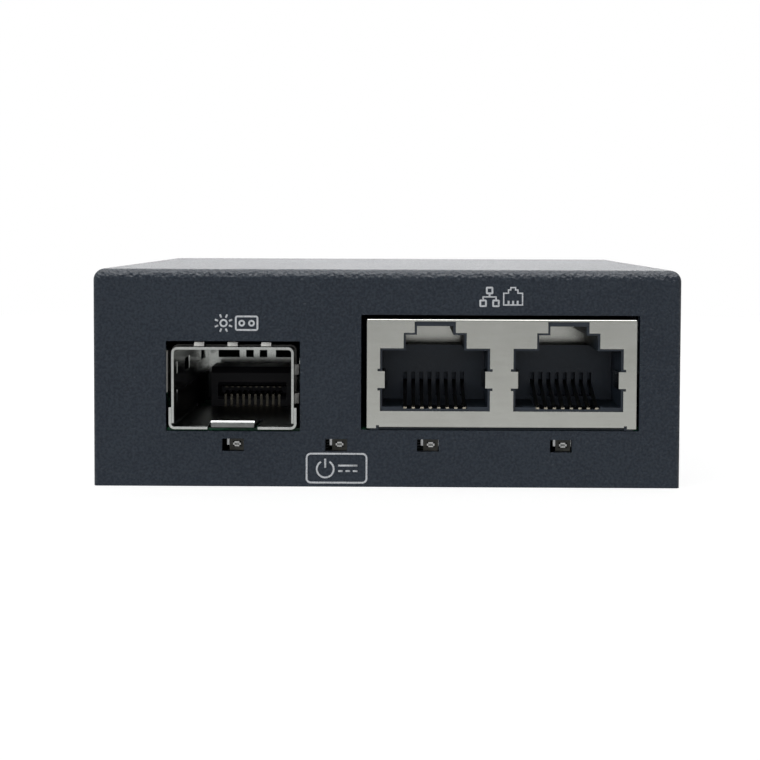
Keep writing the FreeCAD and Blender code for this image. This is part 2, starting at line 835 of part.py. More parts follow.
def lan_jack_shield():
    # one folded sheet: face, top, sides and rear, open below
    outer = folded_box(jack_x, jack_w, jack_y, jack_end, jack_low, jack_top, shield_r, 0)
    side = jack_w / 2 - shield_t
    cuts = [block(jack_x - side, jack_x + side, jack_y + shield_t, jack_end - shield_t,
                  jack_low - 1, jack_top - shield_t)]
    for x in port_xs:
        cuts.append(prism(port_outline(x, jack_y - 1, 0, 0), 0, Y * (shield_t + 1)))
        # relief above and below the side tabs
        for z in (sill + tab_z - tab_relief, sill + tab_z + tab_h):
            w = port_w / 2 + tab_relief
            cuts.append(block(x - w, x + w, jack_y - 1, jack_y + shield_t, z, z + tab_relief))
    # foot of the face, cut free at both ends and folded back as a lip
    lip = jack_w / 2 - lip_inset
    cuts.append(block(jack_x - lip - lip_relief, jack_x + lip + lip_relief, jack_y - 1,
                      jack_y + shield_t, jack_low - 1, jack_low + lip_relief))
    cuts.append(block(jack_x - lip, jack_x + lip, jack_y - 1, jack_y + shield_t,
                      jack_low - 1, jack_low + port_sill / 2))
    shield = outer.cut(cuts)
    t = shield_t / 2
    fold = [V(jack_x - lip, jack_y + t, jack_low + port_sill / 2),
            V(jack_x - lip, jack_y + t, jack_low + t),
            V(jack_x - lip, jack_y + lip_d, jack_low + t)]
    parts = [shield, strip(fold, shield_t, shield_t, X * 2 * lip)]
    z = sill + tab_z
    for x in port_xs:
        for side in (-1, 1):
            # spring tab folded into the port at each side of its window
            edge = x + side * port_w / 2
            tab = [V(edge + side * 0.3, jack_y + t, z), V(edge - side * tab_in, jack_y + t, z),
                   V(edge - side * (tab_in + 0.35), jack_y + tab_l * 0.6, z),
                   V(edge - side * tab_in, jack_y + tab_l, z)]
            parts.append(strip(tab, shield_t, 0, Z * tab_h))
    for x, y in jack_leg_places():
        w = leg_w / 2
        parts.append(prism([V(x - t, y - w, jack_low + 1), V(x - t, y + w, jack_low + 1),
                            V(x - t, y + w, pin_low + 0.4), V(x - t, y + w - 0.3, pin_low),
                            V(x - t, y - w + 0.3, pin_low), V(x - t, y - w, pin_low + 0.4)],
                           0, X * shield_t))
    return join(parts)


def lan_jack_housing():
    fit = shield_t + jack_fit
    block_w = jack_w / 2 - fit
    y0 = jack_y + fit
    top = jack_top - fit
    body = block(jack_x - block_w, jack_x + block_w, y0, jack_end - fit, board_up, top)
    cuts = []
    for x in port_xs:
        # stepped port, whose latch channel runs right through
        mouth = port_outline(x, y0 - 1, plastic_in, notch_in)
        cuts.append(prism(mouth, 0, Y * (port_depth + 1)))
        cuts.append(prism(mouth[3:11], 0, Y * (jack_d + 2)))
        # trough for the contact carrier
        half = trough_w / 2
        cuts.append(block(x - half, x + half, jack_y + carrier_front - carrier_fit,
                          jack_y + trough_end, board_up - 1, sill + plastic_in + ledge_h))
        # comb that parts the wires at the back of the port
        for i in range(wires):
            w = wire_x(x, i)
            cuts.append(block(w - comb_w / 2, w + comb_w / 2, y0 + port_depth - comb_ahead,
                              y0 + port_depth + comb_d, carrier_top + comb_low,
                              carrier_top + wire_tip_z + comb_high))
    # room for the lip of the shield
    lip = jack_w / 2 - lip_inset + jack_fit
    cuts.append(block(jack_x - lip, jack_x + lip, jack_y, jack_y + lip_d + jack_fit,
                      board_up - 1, jack_low + fit))
    ledges = []
    for x in port_xs:
        for side in (-1, 1):
            near = x + side * trough_w / 2
            far = x + side * (port_w / 2 - plastic_in + 0.2)
            ledges.append(block(min(near, far), max(near, far), y0, y0 + port_depth + 0.2,
                                sill + plastic_in - 0.2, sill + plastic_in + ledge_h))
    posts = [plain_rod(post_d, V(x, jack_y + post_y, pin_low), Z * (board_up + 0.5 - pin_low))
             for x in jack_post_xs()]
    return join([body.cut(cuts)] + ledges + posts)


def wire_x(port, i):
    return port + (i - (wires - 1) / 2) * wire_pitch


def tail_place(i):
    return jack_y + tail_y + (i % 2) * tail_row


def lan_contacts(port):
    # each wire runs forward under the port, turns over its nose and springs back up
    run = carrier_top - groove_h + press_gap + wire_t / 2
    nose = jack_y + wire_nose + wire_t / 2 + wire_bend
    tip = V(0, jack_y + wire_tip_y, carrier_top + wire_tip_z)
    centre = V(0, nose, run + wire_bend)
    turns = [math.radians(a) for a in (240, 180, 120)]
    made = []
    for i in range(wires):
        x = V(wire_x(port, i) - wire_w / 2, 0, 0)
        y = tail_place(i)
        bow = [x + centre + V(0, wire_bend * math.cos(a), wire_bend * math.sin(a))
               for a in turns]
        wire = [x + V(0, y, pin_low), x + V(0, y, run)] + bow + [x + tip]
        made.append(strip(wire, wire_t, 0, X * wire_w))
    return made


def lan_carrier(port):
    # insert that holds the wires in grooves under the port
    half = trough_w / 2 - carrier_fit
    y0 = jack_y + carrier_front
    y1 = jack_y + carrier_back
    body = prism([V(port - half, y0, board_up), V(port - half, y1, board_up),
                  V(port - half, y1, carrier_top), V(port - half, y0 + 0.4, carrier_top),
                  V(port - half, y0, carrier_top - 0.4)], 0, X * 2 * half)
    grooves = []
    for i in range(wires):
        x = wire_x(port, i)
        w = wire_w / 2 + press_gap
        grooves.append(block(x - w, x + w, jack_y + wire_nose - 0.15, y1 + 1,
                             carrier_top - groove_h, carrier_top + 1))
    return body.cut(grooves)


# Indicator lights

def light(x):
    # side-looking chip under the board: body, frame round the lens, lens and two terminals
    x = x + light_shift
    y0 = -board_y + light_gap
    y1 = y0 + frame_d
    z1 = board_low
    z0 = z1 - light_h
    z = (z0 + z1) / 2
    w = light_w / 2
    body = block(x - w, x + w, y1, y1 + light_d, z0, z1)
    frame = prism(box_xz(x, z, frame_w, frame_h, y0), 0, Y * frame_d)
    hole = box_xz(x, z, frame_w - 2 * frame_t, frame_h - 2 * frame_t, y0)
    frame = frame.cut(prism(hole, 0, Y * frame_d))
    lens = prism(hole, 0, Y * frame_d / 2).translate(Y * frame_d / 2)
    ends = [block(a, a + light_end, y1 - frame_d / 2, y1 + light_d, z1 - light_end_h, z1)
            for a in (x - w - light_end, x + w)]
    return [body, frame, lens] + ends


# Power inlet

def inlet_tail_places():
    back = inlet_y - inlet_d
    return [(inlet_x, back - leaf_t / 2), (inlet_x, back + 5.6)]


def inlet_body():
    # square collar at the mouth and a round-backed barrel behind it
    back = inlet_y - inlet_d
    w = inlet_w / 2
    collar = prism([V(inlet_x - w, inlet_y - inlet_collar, board_up),
                    V(inlet_x + w, inlet_y - inlet_collar, board_up),
                    V(inlet_x + w, inlet_y - inlet_collar, board_up + inlet_h),
                    V(inlet_x - w, inlet_y - inlet_collar, board_up + inlet_h)],
                   0, Y * inlet_collar)
    r = w - 0.3
    barrel = prism([V(inlet_x - r, back, board_up), V(inlet_x + r, back, board_up),
                    V(inlet_x + r, back, inlet_z + r), V(inlet_x - r, back, inlet_z + r)],
                   [0, 0, r - 0.01, r - 0.01], Y * (inlet_d - inlet_collar))
    bore = rod(inlet_bore, V(inlet_x, inlet_y - inlet_bore_d, inlet_z), Y * (inlet_bore_d + 1))
    pin_hole = rod(inlet_root + 2 * press_gap, V(inlet_x, back - 1, inlet_z), Y * inlet_d)
    # channel that the spring contact lies in
    leaf = block(inlet_x - leaf_w / 2 - 0.1, inlet_x + leaf_w / 2 + 0.1, back + 3.6,
                 inlet_y - 1.0, inlet_z - inlet_bore / 2 - 1.0, inlet_z)
    tail = block(inlet_x - leaf_w / 2 - 0.1, inlet_x + leaf_w / 2 + 0.1, back + 5.0,
                 back + 6.2, board_up - 1, inlet_z)
    leaf = leaf.common(block(inlet_x - w, inlet_x + w, back + 3.6, inlet_y - 1.0,
                             board_up, inlet_z))
    body = collar.fuse(barrel).removeSplitter()
    return body.cut([bore, pin_hole, leaf, tail])


def inlet_pin_contact():
    # turned pin with a rounded tip, riveted to a tail behind the body
    back = inlet_y - inlet_d
    tip = inlet_y - inlet_pin_back
    root = inlet_root / 2
    r = inlet_pin / 2
    step = inlet_y - inlet_bore_d
    profile = outline([V(0, back - leaf_t, 0), V(root, back - leaf_t, 0), V(root, step, 0),
                       V(r, step, 0), V(r, tip - inlet_tip, 0), V(r * 0.5, tip, 0),
                       V(0, tip, 0)], [0] * 7)
    pin = Part.Face(profile).revolve(V(), Y, 360)
    pin.translate(V(inlet_x, 0, inlet_z))
    w = leaf_w / 2
    y = back - leaf_t - press_gap
    plate = prism([V(inlet_x - w, y, inlet_z + w), V(inlet_x + w, y, inlet_z + w),
                   V(inlet_x + w, y, pin_low + 0.4), V(inlet_x + w - 0.6, y, pin_low),
                   V(inlet_x - w + 0.6, y, pin_low), V(inlet_x - w, y, pin_low + 0.4)],
                  0, Y * leaf_t)
    return join([pin, plate])


def inlet_spring():
    back = inlet_y - inlet_d
    low = inlet_z - inlet_bore / 2
    t = leaf_t / 2
    x = inlet_x - leaf_w / 2
    y = inlet_tail_places()[1][1]
    leaf = [V(x, y, pin_low), V(x, y, low - 0.5), V(x, back + 8.6, low - 0.35),
            V(x, back + 10.6, low + 0.45), V(x, inlet_y - 1.6, low - t)]
    return strip(leaf, leaf_t, 0.35, X * leaf_w)


# Parts on the board

def gull_lead():
    # one lead, pointing along +X from the chip's side at the origin
    t = lead_t / 2
    return strip([V(-0.1, 0, chip_t / 2), V(lead_out * 0.35, 0, chip_t / 2),
                  V(lead_out * 0.55, 0, t), V(lead_out, 0, t)],
                 lead_t, 0, Y * lead_w)


def switch_chip(x, y):
    half = chip_w / 2
    body = prism([V(-half, -half, chip_lift), V(half, -half, chip_lift),
                  V(half, half, chip_lift), V(-half, half, chip_lift)],
                 0, Z * (chip_t - chip_lift))
    solids = [body]
    lead = gull_lead()
    for i in range(chip_leads):
        offset = (i - (chip_leads - 1) / 2) * lead_pitch - lead_w / 2
        one = lead.translated(V(half, offset, 0))
        for turn in (0, 90, 180, 270):
            solids.append(one.rotated(V(), Z, turn))
    return [join(solids).translate(V(x, y, board_up))]


def slab(x, y, w, l, t, r):
    return prism([V(x - w / 2, y - l / 2, board_up), V(x + w / 2, y - l / 2, board_up),
                  V(x + w / 2, y + l / 2, board_up), V(x - w / 2, y + l / 2, board_up)],
                 r, Z * t)


def capacitor(x, y):
    # metal can on a square foot with cut corners
    foot = cut_plate(x, y, capacitor_base, capacitor_base, board_up, capacitor_foot,
                     capacitor_cut)
    can = rod(capacitor_d, V(x, y, board_up + capacitor_foot),
              Z * (capacitor_t - capacitor_foot))
    return join([foot, can])


def small_chip(x, y, turned):
    w, l = (small_w, small_l) if turned else (small_l, small_w)
    return slab(x, y, w, l, small_t, 0)


# Board layout: parts stand behind the ports, clear of each other by part_gap
chip_y = cage_end + part_gap + chip_w / 2 + lead_out
transformer_y = jack_end + part_gap + transformer_back + transformer_l / 2
inductor_y = inlet_y - inlet_d - part_gap - inductor_left - inductor_w / 2
crystal_y = chip_y + chip_w / 2 + lead_out + part_gap + crystal_l / 2


def build():
    made = {
        "case_cover": [case_cover()],
        "base_plate": [base_plate()],
        "side_screws": side_screws(),
        "board_standoffs": board_standoffs(),
        "board_screws": board_screw_set(),
        "main_board": [main_board()],
        "fibre_cage_shell": [fibre_cage_shell()],
        "fibre_cage_floor": [fibre_cage_floor()],
        "cage_ground_spring": [ground_spring()],
        "fibre_socket_body": [fibre_socket_body()],
        "fibre_socket_contacts": fibre_socket_contacts(),
        "lan_jack_shield": [lan_jack_shield()],
        "lan_jack_housing": [lan_jack_housing()],
        "lan_contacts_left": lan_contacts(port_xs[0]),
        "lan_contacts_right": lan_contacts(port_xs[1]),
        "lan_carrier_left": [lan_carrier(port_xs[0])],
        "lan_carrier_right": [lan_carrier(port_xs[1])],
        "power_inlet_body": [inlet_body()],
        "power_inlet_pin": [inlet_pin_contact()],
        "power_inlet_spring": [inlet_spring()],
    }
    for name, x in light_xs.items():
        made[name] = light(x)
    made["switch_chip"] = switch_chip(cage_x + chip_right, chip_y)
    for name, x in zip(("line_transformer_left", "line_transformer_right"), port_xs):
        made[name] = [slab(x + transformer_right, transformer_y, transformer_w, transformer_l,
                           transformer_t, 0)]
    made["memory_chip"] = [slab(cage_x - memory_left, crystal_y, memory_w, memory_l,
                                small_chip_t, 0)]
    made["crystal_can"] = [slab(cage_x + crystal_right, crystal_y, crystal_w, crystal_l,
                                crystal_t, crystal_l / 2 - 0.01)]
    made["power_inductor"] = [cut_plate(inlet_x - inductor_left, inductor_y, inductor_w,
                                        inductor_w, board_up, inductor_t, inductor_cut)]
    made["regulator_chip"] = [slab(inlet_x - inductor_w - regulator_left, inductor_y,
                                   regulator_w, regulator_l, small_chip_t, 0)]
    first = inlet_x - inlet_w / 2 - part_gap - capacitor_base / 2
    made["bulk_capacitors"] = [capacitor(first - i * (capacitor_base + part_gap),
                                         inlet_y - capacitor_base / 2 - part_gap)
                               for i in range(2)]
    middle = (chip_caps - 1) / 2
    made["chip_capacitors"] = [small_chip(cage_x + chip_right + (i - middle) * chip_cap_pitch,
                                          crystal_y + chip_cap_back, True)
                               for i in range(chip_caps)]
    made["chip_resistors"] = [small_chip(port_xs[0] - resistor_left + i * resistor_pitch,
                                         jack_end + part_gap + resistor_back, i % 2 == 0)
                              for i in range(chip_resistors)]
    return made


os.makedirs("parts", exist_ok=True)
for name, solids in build().items():
    shape = solids[0] if len(solids) == 1 else Part.makeCompound(solids)
    if isinstance(shape, Part.Compound) and len(shape.Solids) == 1:
        shape = shape.Solids[0]
    shape.exportStep("parts/" + name + ".step")
    print(name, len(shape.Solids), round(shape.Volume, 2), shape.isValid())
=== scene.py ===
import json
import math

import bmesh
import bpy
from mathutils import Euler, Matrix, Vector


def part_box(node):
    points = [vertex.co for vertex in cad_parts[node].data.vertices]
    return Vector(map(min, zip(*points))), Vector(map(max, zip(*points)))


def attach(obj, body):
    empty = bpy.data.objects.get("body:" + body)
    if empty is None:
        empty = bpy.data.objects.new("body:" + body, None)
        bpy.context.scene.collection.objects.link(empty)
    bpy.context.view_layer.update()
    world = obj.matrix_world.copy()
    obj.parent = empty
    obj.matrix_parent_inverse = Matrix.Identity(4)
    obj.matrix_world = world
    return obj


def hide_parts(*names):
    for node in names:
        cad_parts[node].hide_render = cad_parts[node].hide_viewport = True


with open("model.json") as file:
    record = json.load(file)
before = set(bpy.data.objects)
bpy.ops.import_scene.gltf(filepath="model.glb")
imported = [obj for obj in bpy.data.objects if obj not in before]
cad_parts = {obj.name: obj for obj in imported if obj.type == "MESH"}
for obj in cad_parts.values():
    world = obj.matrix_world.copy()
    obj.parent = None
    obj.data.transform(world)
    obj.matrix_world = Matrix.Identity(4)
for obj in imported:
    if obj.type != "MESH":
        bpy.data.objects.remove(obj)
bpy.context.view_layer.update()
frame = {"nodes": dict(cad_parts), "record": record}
nodes = frame["nodes"]
mm = 0.001
coverLow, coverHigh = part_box("case_cover")
cageLow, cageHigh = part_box("fibre_cage_shell")
slotOf = {part["node"]: part["material_slot"] for part in frame["record"]["subparts"]}


class Signal:
    # one output of a shader node, for use in sums and products
    def __init__(self, finish, socket):
        self.finish = finish
        self.socket = socket

    def maths(self, operation, first, second):
        return self.finish.add("Math", {"operation": operation}, {0: first, 1: second})["Value"]

    def __add__(self, other):
        return self.maths("ADD", self, other)

    def __radd__(self, other):
        return self.maths("ADD", other, self)

    def __mul__(self, other):
        return self.maths("MULTIPLY", self, other)

    def __rmul__(self, other):
        return self.maths("MULTIPLY", other, self)


class Outlets:
    def __init__(self, finish, node):
        self.finish = finish
        self.node = node

    def __getitem__(self, name):
        return Signal(self.finish, self.node.outputs[name])


class Finish:
    # the shader tree of a material or of the world
    def __init__(self, owner):
        owner.use_nodes = True
        self.owner = owner
        self.tree = owner.node_tree
        self.tree.nodes.clear()
        self.coordinates = self.add("TexCoord", {}, {})
        self.place = self.coordinates["Object"]

    def add(self, kind, settings, sockets):
        node = self.tree.nodes.new("ShaderNode" + kind)
        for name, value in settings.items():
            if name == "stops":
                for element, (position, grey) in zip(node.color_ramp.elements, value):
                    element.position = position
                    element.color = (grey, grey, grey, 1)
            else:
                setattr(node, name, value)
        for name, value in sockets.items():
            socket = node.inputs[name]
            if isinstance(value, Signal):
                self.tree.links.new(value.socket, socket)
            elif socket.type == "RGBA":
                socket.default_value = (*value, 1)
            else:
                socket.default_value = value
        return Outlets(self, node)

    def stretched(self, scale):
        return self.add("Mapping", {}, {"Vector": self.place, "Scale": scale})["Vector"]

    def noise(self, size, detail=3.0, rough=0.5, where=None):
        sockets = {"Vector": where or self.place, "Scale": 1 / size, "Detail": detail, "Roughness": rough}
        return self.add("TexNoise", {}, sockets)["Fac"]

    def cells(self, size):
        return self.add("TexVoronoi", {}, {"Vector": self.place, "Scale": 1 / size})["Distance"]

    def ramp(self, signal, start, stop, top=1.0):
        # black up to start, and top, a grey, from stop on
        return self.add("ValToRGB", {"stops": ((start, 0.0), (stop, top))}, {"Fac": signal})["Color"]

    def between(self, low, high, signal, start=0.0, stop=1.0):
        # low where the signal is at start, and high where it is at stop
        sockets = {"Value": signal, "From Min": start, "From Max": stop, "To Min": low, "To Max": high}
        return self.add("MapRange", {}, sockets)["Result"]

    def larger(self, first, second):
        return self.add("Math", {"operation": "MAXIMUM"}, {0: first, 1: second})["Value"]

    def level(self, first, second, amount):
        return self.add("Mix", {}, {0: amount, 2: first, 3: second})[0]

    def mix(self, first, second, amount):
        return self.add("Mix", {"data_type": "RGBA"}, {0: amount, 6: first, 7: second})[2]

    def bump(self, height, depth):
        return self.add("Bump", {}, {"Height": height, "Distance": depth})["Normal"]

    def glow(self, strength):
        return self.add("Emission", {}, {"Color": (1.0, 1.0, 1.0), "Strength": strength})["Emission"]

    def done(self, sockets):
        shader = self.add("BsdfPrincipled", {}, sockets)["BSDF"]
        self.add("OutputMaterial", {}, {"Surface": shader})
        return self.owner


def newFinish(name):
    return Finish(bpy.data.materials.new(name))


coat = {
    "grain": 0.32 * mm,
    "pimples": 0.512 * mm,
    "cloud": 9 * mm,
    "contrast": (0.42, 0.58),   # where the dark ends and the light begins
    "dark": (0.001, 0.006, 0.015),
    "light": (0.0142, 0.022, 0.0332),
    "rough": (0.38, 0.56),
    "depth": 0.27 * mm,
}


def powderCoat():
    f = newFinish("powderCoat")
    grain = f.noise(coat["grain"], 2.0, 0.55)
    pimples = f.cells(coat["pimples"])
    cloud = f.noise(coat["cloud"], 4.0, 0.6)
    tone = grain * 0.8 + cloud * 0.2
    return f.done({
        "Base Color": f.mix(coat["dark"], coat["light"], f.ramp(tone, *coat["contrast"])),
        "Roughness": f.between(*coat["rough"], grain * 0.5 + cloud * 0.5),
        "Specular IOR Level": 0.5,
        "Normal": f.bump(grain * 0.6 + pimples * 0.4, coat["depth"]),
    })


# "along" draws the streaks out where its number is small, and "spots" is how strong the dull patches are
metals = {
    "screw_black": {
        "name": "screwBlack", "low": (0.02, 0.02, 0.024), "high": (0.05, 0.05, 0.055),
        "rough": (0.32, 0.5), "streak": 0.5 * mm, "depth": 0.01 * mm},
    "zinc_plate": {
        "name": "zincPlate", "low": (0.5, 0.51, 0.5), "high": (0.68, 0.68, 0.66),
        "rough": (0.3, 0.5), "streak": 1.2 * mm, "depth": 0.01 * mm, "spots": 0.5},
    "cage_metal": {
        "name": "cageNickel", "low": (0.42, 0.435, 0.425), "high": (0.58, 0.595, 0.575),
        "rough": (0.1, 0.2), "streak": 0.6 * mm, "depth": 0.003 * mm,
        "along": (1, 0.12, 1), "spots": 0.25,
        # painted shade: behind the mouth and below the shoulder the cage's inside is made darker and
        # rougher, with patchy edges, standing in for the shade deep in the cage
        "paintedShade": {
            "y": (cageLow.y + 1.6 * mm, cageLow.y + 2.8 * mm),
            "z": (cageHigh.z - 4.5 * mm, cageHigh.z - 5.4 * mm),
            "patch": 1.6 * mm, "worn": 1.0 * mm, "tint": (0.035, 0.037, 0.04), "rough": 0.15}},
    "spring_metal": {
        "name": "springSteel", "low": (0.22, 0.22, 0.212), "high": (0.3, 0.298, 0.286),
        "rough": (0.5, 0.62), "streak": 0.4 * mm, "depth": 0.004 * mm, "along": (1, 0.2, 1)},
    "jack_metal": {
        "name": "jackNickel", "low": (0.44, 0.445, 0.415), "high": (0.5, 0.505, 0.475),
        "rough": (0.13, 0.22), "streak": 0.5 * mm, "depth": 0.002 * mm,
        "along": (0.12, 1, 1), "spots": 0.08},
    "gold_plate": {
        "name": "goldPlate", "low": (0.13, 0.12, 0.095), "high": (0.24, 0.22, 0.18),
        "rough": (0.3, 0.45), "streak": 0.3 * mm, "depth": 0.003 * mm},
    "can_metal": {
        "name": "drawnCan", "low": (0.62, 0.63, 0.64), "high": (0.78, 0.78, 0.78),
        "rough": (0.2, 0.34), "streak": 0.5 * mm, "depth": 0.005 * mm, "along": (1, 1, 0.1)},
    "light_frame": {
        "name": "lightFrame", "low": (0.42, 0.425, 0.42), "high": (0.56, 0.565, 0.56),
        "rough": (0.15, 0.3), "streak": 0.2 * mm, "depth": 0.002 * mm},
    "light_end": {
        "name": "lightSolder", "low": (0.36, 0.37, 0.38), "high": (0.5, 0.505, 0.51),
        "rough": (0.15, 0.3), "streak": 0.25 * mm, "depth": 0.03 * mm},
    # the tongue's end is handled, so its nickel is duller
    "tongue_end": {
        "name": "dullNickel", "low": (0.2, 0.206, 0.202), "high": (0.3, 0.308, 0.302),
        "rough": (0.5, 0.62), "streak": 0.5 * mm, "depth": 0.004 * mm},
}
wear = {
    "cloud": 4 * mm,
    "fine": 0.12 * mm,
    "edge": (0.32, 0.68),
    "spot": 1.3 * mm,
    "spotEdge": (0.58, 0.7),
    "dull": 0.55,
}


def metal(name, low, high, rough, streak, depth, along=(1, 1, 1), spots=0.0, paintedShade=None):
    f = newFinish(name)
    drawn = f.noise(streak, 3.0, 0.6, f.stretched(along))
    cloud = f.noise(wear["cloud"], 4.0, 0.6)
    skin = drawn * 0.6 + f.noise(wear["fine"], 2.0, 0.5) * 0.4
    tint = f.mix(low, high, f.ramp(drawn * 0.5 + cloud * 0.5, *wear["edge"]))
    if spots:
        dull = f.ramp(f.noise(wear["spot"], 5.0, 0.7), *wear["spotEdge"], spots)
        tint = f.mix(tint, tuple(wear["dull"] * c for c in low), dull)
    shine = f.between(*rough, skin)
    # painted shade deeper in the cage: the colour is mixed towards a dark tint and the roughness raised,
    # behind the mouth and below the shoulder
    if paintedShade:
        at = f.add("SeparateXYZ", {}, {0: f.place})
        worn = f.noise(paintedShade["patch"], 3.0, 0.6) * paintedShade["worn"]
        deep = f.between(0.0, 1.0, at["Y"] + worn, *paintedShade["y"])
        under = f.between(0.0, 1.0, at["Z"] + worn, *paintedShade["z"])
        amount = deep * under
        tint = f.mix(tint, paintedShade["tint"], amount)
        shine = shine + amount * paintedShade["rough"]
    return f.done({
        "Base Color": tint,
        "Metallic": 1.0,
        "Roughness": shine,
        "Normal": f.bump(skin, depth),
    })


plastics = {
    "black_plastic": {
        "name": "jackPlastic", "low": (0.0105, 0.0155, 0.0235), "high": (0.0205, 0.028, 0.04),
        "rough": (0.38, 0.55), "grain": 0.25 * mm, "depth": 0.012 * mm},
    "socket_plastic": {
        "name": "socketPlastic", "low": (0.008, 0.008, 0.01), "high": (0.016, 0.016, 0.019),
        "rough": (0.4, 0.6), "grain": 0.2 * mm, "depth": 0.012 * mm},
    "light_body": {
        "name": "lightBody", "low": (0.05, 0.05, 0.045), "high": (0.09, 0.09, 0.08),
        "rough": (0.4, 0.6), "grain": 0.3 * mm, "depth": 0.01 * mm},
    "chip_black": {
        "name": "chipEpoxy", "low": (0.012, 0.012, 0.014), "high": (0.024, 0.024, 0.027),
        "rough": (0.45, 0.65), "grain": 0.12 * mm, "depth": 0.01 * mm},
    "ferrite": {
        "name": "ferriteSkin", "low": (0.035, 0.035, 0.036), "high": (0.075, 0.072, 0.07),
        "rough": (0.55, 0.75), "grain": 0.3 * mm, "depth": 0.03 * mm, "gloss": 0.3},
    "chip_ceramic": {
        "name": "chipCeramic", "low": (0.3, 0.21, 0.13), "high": (0.46, 0.35, 0.24),
        "rough": (0.35, 0.55), "grain": 0.3 * mm, "depth": 0.01 * mm},
}
flow = {"cloud": 3 * mm, "edge": (0.3, 0.7)}


def plastic(name, low, high, rough, grain, depth, gloss=0.5):
    f = newFinish(name)
    skin = f.noise(grain, 3.0, 0.6)
    cloud = f.noise(flow["cloud"])
    return f.done({
        "Base Color": f.mix(low, high, f.ramp(cloud * 0.6 + skin * 0.4, *flow["edge"])),
        "Roughness": f.between(*rough, skin * 0.5 + cloud * 0.5),
        "Specular IOR Level": gloss,
        "Normal": f.bump(skin, depth),
    })


mask = {
    "weave": 320.0,
    "bare": ((0.004, 0.028, 0.014), (0.007, 0.045, 0.022)),
    "copper": (0.011, 0.085, 0.04),
    "track": 2.6 * mm,
    "lengthwise": {"stretch": (1, 0.16, 1), "edge": (0.5, 0.515)},
    "crosswise": {"stretch": (0.16, 1, 1), "edge": (0.56, 0.575)},
    "skin": 0.6 * mm,
    "rough": (0.28, 0.4),
    "depth": 0.03 * mm,
}


def boardMask():
    # solder mask over copper: tracks show as a paler, raised green
    f = newFinish("boardMask")
    weave = f.add("TexWave", {"bands_direction": "X"}, {
        "Vector": f.place, "Scale": mask["weave"], "Distortion": 1.5, "Detail": 1.0})["Fac"]
    tracks = [f.ramp(f.noise(mask["track"], 1.0, 0.4, f.stretched(run["stretch"])), *run["edge"])
              for run in (mask["lengthwise"], mask["crosswise"])]
    copper = f.larger(*tracks)
    return f.done({
        "Base Color": f.mix(f.mix(*mask["bare"], weave), mask["copper"], copper),
        "Roughness": f.between(*mask["rough"], f.noise(mask["skin"])),
        "Normal": f.bump(copper * 0.8 + weave * 0.1, mask["depth"]),
    })


epoxy = {
    "swirl": 0.35 * mm,
    "low": (0.16, 0.17, 0.17),
    "high": (0.42, 0.43, 0.4),
    "rough": (0.05, 0.14),
    "clear": 0.25,
    "bend": 1.54,
    "gloss": 0.6,
    "depth": 0.01 * mm,
}


def clearEpoxy():
    f = newFinish("clearEpoxy")
    swirl = f.noise(epoxy["swirl"])
    return f.done({
        "Base Color": f.mix(epoxy["low"], epoxy["high"], swirl),
        "Roughness": f.between(*epoxy["rough"], swirl),
        "Transmission Weight": epoxy["clear"],
        "IOR": epoxy["bend"],
        "Coat Weight": epoxy["gloss"],
        "Normal": f.bump(swirl, epoxy["depth"]),
    })


finishes = {"powder_coat": powderCoat(), "board_green": boardMask(), "clear_light": clearEpoxy()}
for slot, look in metals.items():
    finishes[slot] = metal(**look)
for slot, look in plastics.items():
    finishes[slot] = plastic(**look)
for name, node in nodes.items():
    node.data.materials.clear()
    node.data.materials.append(finishes[slotOf[name]])
print("finishes made")

seam = {"merge": 0.0005 * mm, "flat": math.radians(0.5), "sharp": math.radians(28)}


def meshOf(bm, name):
    mesh = bpy.data.meshes.new(name)
    bm.to_mesh(mesh)
    bm.free()
    return mesh


def settle(mesh, finish):
    # a new piece, which rides on the object's one body
    mesh.materials.clear()
    mesh.materials.append(finish)
    piece = bpy.data.objects.new(mesh.name, mesh)
    bpy.context.scene.collection.objects.link(piece)
    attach(piece, "root")
    return piece


# each folded or stamped node with its new name, the width of its broken edges and their segments
soft = {
    "case_cover": ("coverCoated", 0.2 * mm, 3),
    "base_plate": ("baseCoated", 0.12 * mm, 2),
    "lan_jack_shield": ("jackShieldPlated", 0.04 * mm, 2),
    "fibre_cage_shell": ("cageShellPlated", 0.04 * mm, 2),
    "fibre_cage_floor": ("cageFloorPlated", 0.04 * mm, 2),
    "cage_ground_spring": ("cageSpringPlated", 0.025 * mm, 2),
}


def softEdges(name, newName, width, segments):
    # the same form as its CAD node, with its sharp edges broken as paint or plating leaves them
    bm = bmesh.new()
    bm.from_mesh(nodes[name].data)
    bmesh.ops.remove_doubles(bm, verts=bm.verts, dist=seam["merge"])
    bmesh.ops.dissolve_limit(bm, angle_limit=seam["flat"], verts=bm.verts, edges=bm.edges)
    mesh = meshOf(bm, newName)
    mesh.shade_smooth()
    piece = settle(mesh, finishes[slotOf[name]])
    broken = piece.modifiers.new("brokenEdges", "BEVEL")
    broken.width = width
    broken.segments = segments
    broken.limit_method = "ANGLE"
    broken.angle_limit = seam["sharp"]
    broken.harden_normals = True
    flat = piece.modifiers.new("flatFaces", "WEIGHTED_NORMAL")
    flat.mode = "FACE_AREA"
    flat.weight = 100
    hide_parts(name)


for name, (newName, width, segments) in soft.items():
    softEdges(name, newName, width, segments)
print("sheet metal edges softened")


def roundedBox(bm, low, high, edge):
    place = Matrix.Translation((low + high) / 2) @ Matrix.Diagonal((*(high - low), 1))
    corners = bmesh.ops.create_cube(bm, size=1, matrix=place)["verts"]
    edges = [e for e in bm.edges if e.verts[0] in corners]
    bmesh.ops.bevel(bm, geom=edges, offset=edge, segments=2, profile=0.5, affect="EDGES", material=-1)


